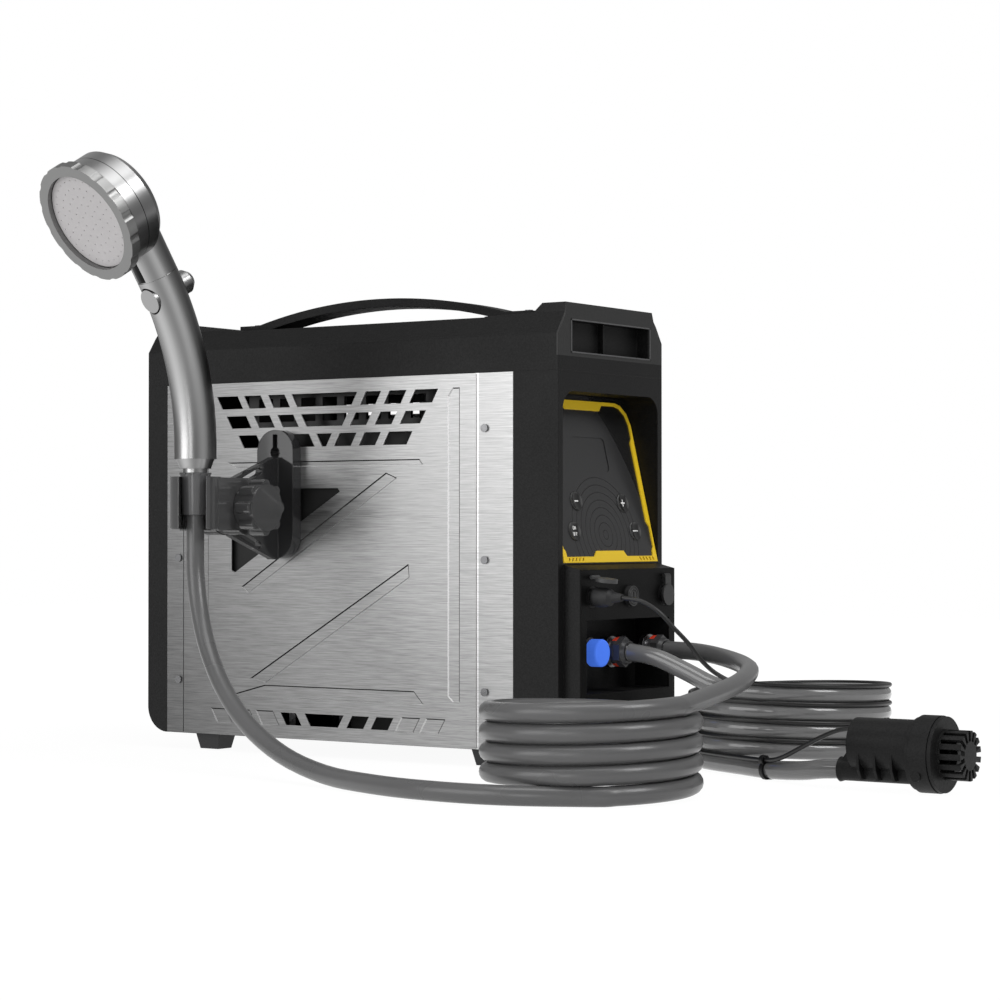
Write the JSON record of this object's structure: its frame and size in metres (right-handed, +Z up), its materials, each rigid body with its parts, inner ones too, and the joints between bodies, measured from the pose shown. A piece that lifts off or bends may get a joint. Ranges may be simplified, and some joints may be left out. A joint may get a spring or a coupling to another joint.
{
  "type": "portable water heater",
  "caption": "Portable gas water heater with carrying handle, clamped shower handset, coiled hoses and a submersible pump on a cable.",
  "frame": {"origin": "on the floor, under the centre of the heater body's footprint, between the four feet", "axes": "+X along the body towards the control panel, -Y the side that carries the shower holder, +Z up"},
  "size_m": [0.703, 0.4243, 0.441],
  "materials": {
    "black_abs": "fine grain, satin",
    "grey_abs": "satin",
    "black_gloss": "semi-gloss",
    "steel_panel": "brushed along the length",
    "chassis_steel": "matt black",
    "yellow_trim": "gloss",
    "blue_knob": "gloss",
    "red_plastic": "gloss",
    "chrome": "polished",
    "zinc": "zinc plated",
    "satin_nickel": "satin nickel plate on moulded plastic",
    "brass": "machined",
    "copper": "copper, oxidised",
    "aluminium": "cast",
    "green_board": "circuit board",
    "rubber": "matt",
    "hose_grey": "smooth PVC, satin",
    "cable_black": "smooth"
  },
  "bodies": {
    "heater": {"top_cover": "black_abs", "front_shell": "black_abs", "rear_shell": "black_abs", "panel_near": "steel_panel", "panel_far": "steel_panel", "chassis": "chassis_steel", "feet": "rubber", "carry_handle": "black_abs", "screws": "zinc", "control_panel": "black_gloss", "control_bezel": "yellow_trim", "control_board": "green_board", "socket_row": "black_abs", "cold_fitting": "chrome", "hot_fitting": "chrome", "gas_inlet": "brass", "gas_valve": "aluminium", "flow_sensor": "black_abs", "burner": "zinc", "heat_exchanger": "aluminium", "exhaust_hood": "zinc", "blower_housing": "chassis_steel", "igniter": "black_abs", "water_pipes": "copper", "gas_pipe": "brass", "holder_bracket": "black_abs", "shower_hose_rise": "hose_grey", "shower_hose_coil": "hose_grey", "shower_hose_drop": "hose_grey", "pump_hose_run": "hose_grey", "pump_hose_coil": "hose_grey", "pump_hose_tail": "hose_grey", "pump_plug": "rubber", "pump_cable": "cable_black", "cable_clip": "black_abs", "pump_body": "black_abs", "pump_clamp": "black_abs"},
    "minus": {"button_minus": "grey_abs"},
    "plus": {"button_plus": "grey_abs"},
    "power": {"button_power": "grey_abs"},
    "mode": {"button_mode": "grey_abs"},
    "pump_cover": {"pump_flap": "rubber"},
    "fuse": {"fuse_cap": "black_abs"},
    "dc_cover": {"dc_flap": "rubber"},
    "drain": {"drain_knob": "blue_knob"},
    "cold_collar": {"cold_sleeve": "red_plastic"},
    "hot_collar": {"hot_sleeve": "red_plastic"},
    "blower": {"blower_wheel": "aluminium"},
    "arm": {"holder_arm": "black_abs", "holder_bolt": "zinc"},
    "clamp_knob": {"holder_knob": "black_abs"},
    "handset": {"cone_nut": "black_gloss", "shower_grip": "satin_nickel", "shower_head": "satin_nickel", "face_ring": "satin_nickel", "spray_plate": "grey_abs"},
    "lever": {"mode_lever": "satin_nickel"},
    "stop": {"stop_valve": "satin_nickel"},
    "pump_wheel": {"pump_impeller": "grey_abs"},
    "strainer": {"pump_strainer": "black_abs"}
  },
  "joints": [
    {"name": "minus_press", "type": "slide", "parent": "heater", "child": "minus", "axis": [-0.9741, 0, -0.226], "range_m": [0, 0.001], "stiffness_N_per_m": 400, "springref_m": -0.0005},
    {"name": "plus_press", "type": "slide", "parent": "heater", "child": "plus", "axis": [-0.9741, 0, -0.226], "range_m": [0, 0.001], "stiffness_N_per_m": 400, "springref_m": -0.0005},
    {"name": "power_press", "type": "slide", "parent": "heater", "child": "power", "axis": [-0.9741, 0, -0.226], "range_m": [0, 0.001], "stiffness_N_per_m": 400, "springref_m": -0.0005},
    {"name": "mode_press", "type": "slide", "parent": "heater", "child": "mode", "axis": [-0.9741, 0, -0.226], "range_m": [0, 0.001], "stiffness_N_per_m": 400, "springref_m": -0.0005},
    {"name": "pump_cover_hinge", "type": "hinge", "parent": "heater", "child": "pump_cover", "pos_m": [0.212, -0.05, 0.138], "axis": [0, 1, 0], "range_deg": [-80, 0]},
    {"name": "fuse_cap_turn", "type": "hinge", "parent": "heater", "child": "fuse", "pos_m": [0.212, 0, 0.1237], "axis": [1, 0, 0], "range_deg": [-90, 0]},
    {"name": "dc_cover_hinge", "type": "hinge", "parent": "heater", "child": "dc_cover", "pos_m": [0.212, 0.05, 0.138], "axis": [0, -1, 0], "range_deg": [0, 120]},
    {"name": "drain_knob_turn", "type": "hinge", "parent": "heater", "child": "drain", "pos_m": [0.2, -0.034, 0.083], "axis": [1, 0, 0], "range_deg": [0, 90]},
    {"name": "cold_collar_slide", "type": "slide", "parent": "heater", "child": "cold_collar", "axis": [-1, 0, 0], "range_m": [0, 0.003], "stiffness_N_per_m": 300, "springref_m": -0.001},
    {"name": "hot_collar_slide", "type": "slide", "parent": "heater", "child": "hot_collar", "axis": [-1, 0, 0], "range_m": [0, 0.003], "stiffness_N_per_m": 300, "springref_m": -0.001},
    {"name": "blower_spin", "type": "hinge", "parent": "heater", "child": "blower", "pos_m": [-0.01, 0, 0.058], "axis": [0, 1, 0], "continuous": true},
    {"name": "arm_tilt", "type": "hinge", "parent": "heater", "child": "arm", "pos_m": [-0.057, -0.136, 0.1885], "axis": [1, 0, 0], "range_deg": [-15, 5]},
    {"name": "clamp_knob_turn", "type": "hinge", "parent": "arm", "child": "clamp_knob", "pos_m": [-0.038, -0.136, 0.1885], "axis": [1, 0, 0], "continuous": true},
    {"name": "handset_turn", "type": "hinge", "parent": "arm", "child": "handset", "pos_m": [-0.057, -0.174, 0.214], "axis": [0, 0, 1], "range_deg": [-75, 75]},
    {"name": "mode_lever_turn", "type": "hinge", "parent": "handset", "child": "lever", "pos_m": [-0.07499, -0.26657, 0.3919], "axis": [-0.1618, -0.8325, -0.5299], "range_deg": [-13, 0]},
    {"name": "stop_valve_push", "type": "slide", "parent": "handset", "child": "stop", "axis": [-0.1685, -0.8667, -0.4695], "range_m": [0, 0.006]},
    {"name": "pump_wheel_spin", "type": "hinge", "parent": "heater", "child": "pump_wheel", "pos_m": [0.475, -0.064, 0.03], "axis": [1, 0, 0], "continuous": true},
    {"name": "strainer_turn", "type": "hinge", "parent": "heater", "child": "strainer", "pos_m": [0.488, -0.064, 0.0255], "axis": [1, 0, 0], "range_deg": [0, 30]}
  ]
}
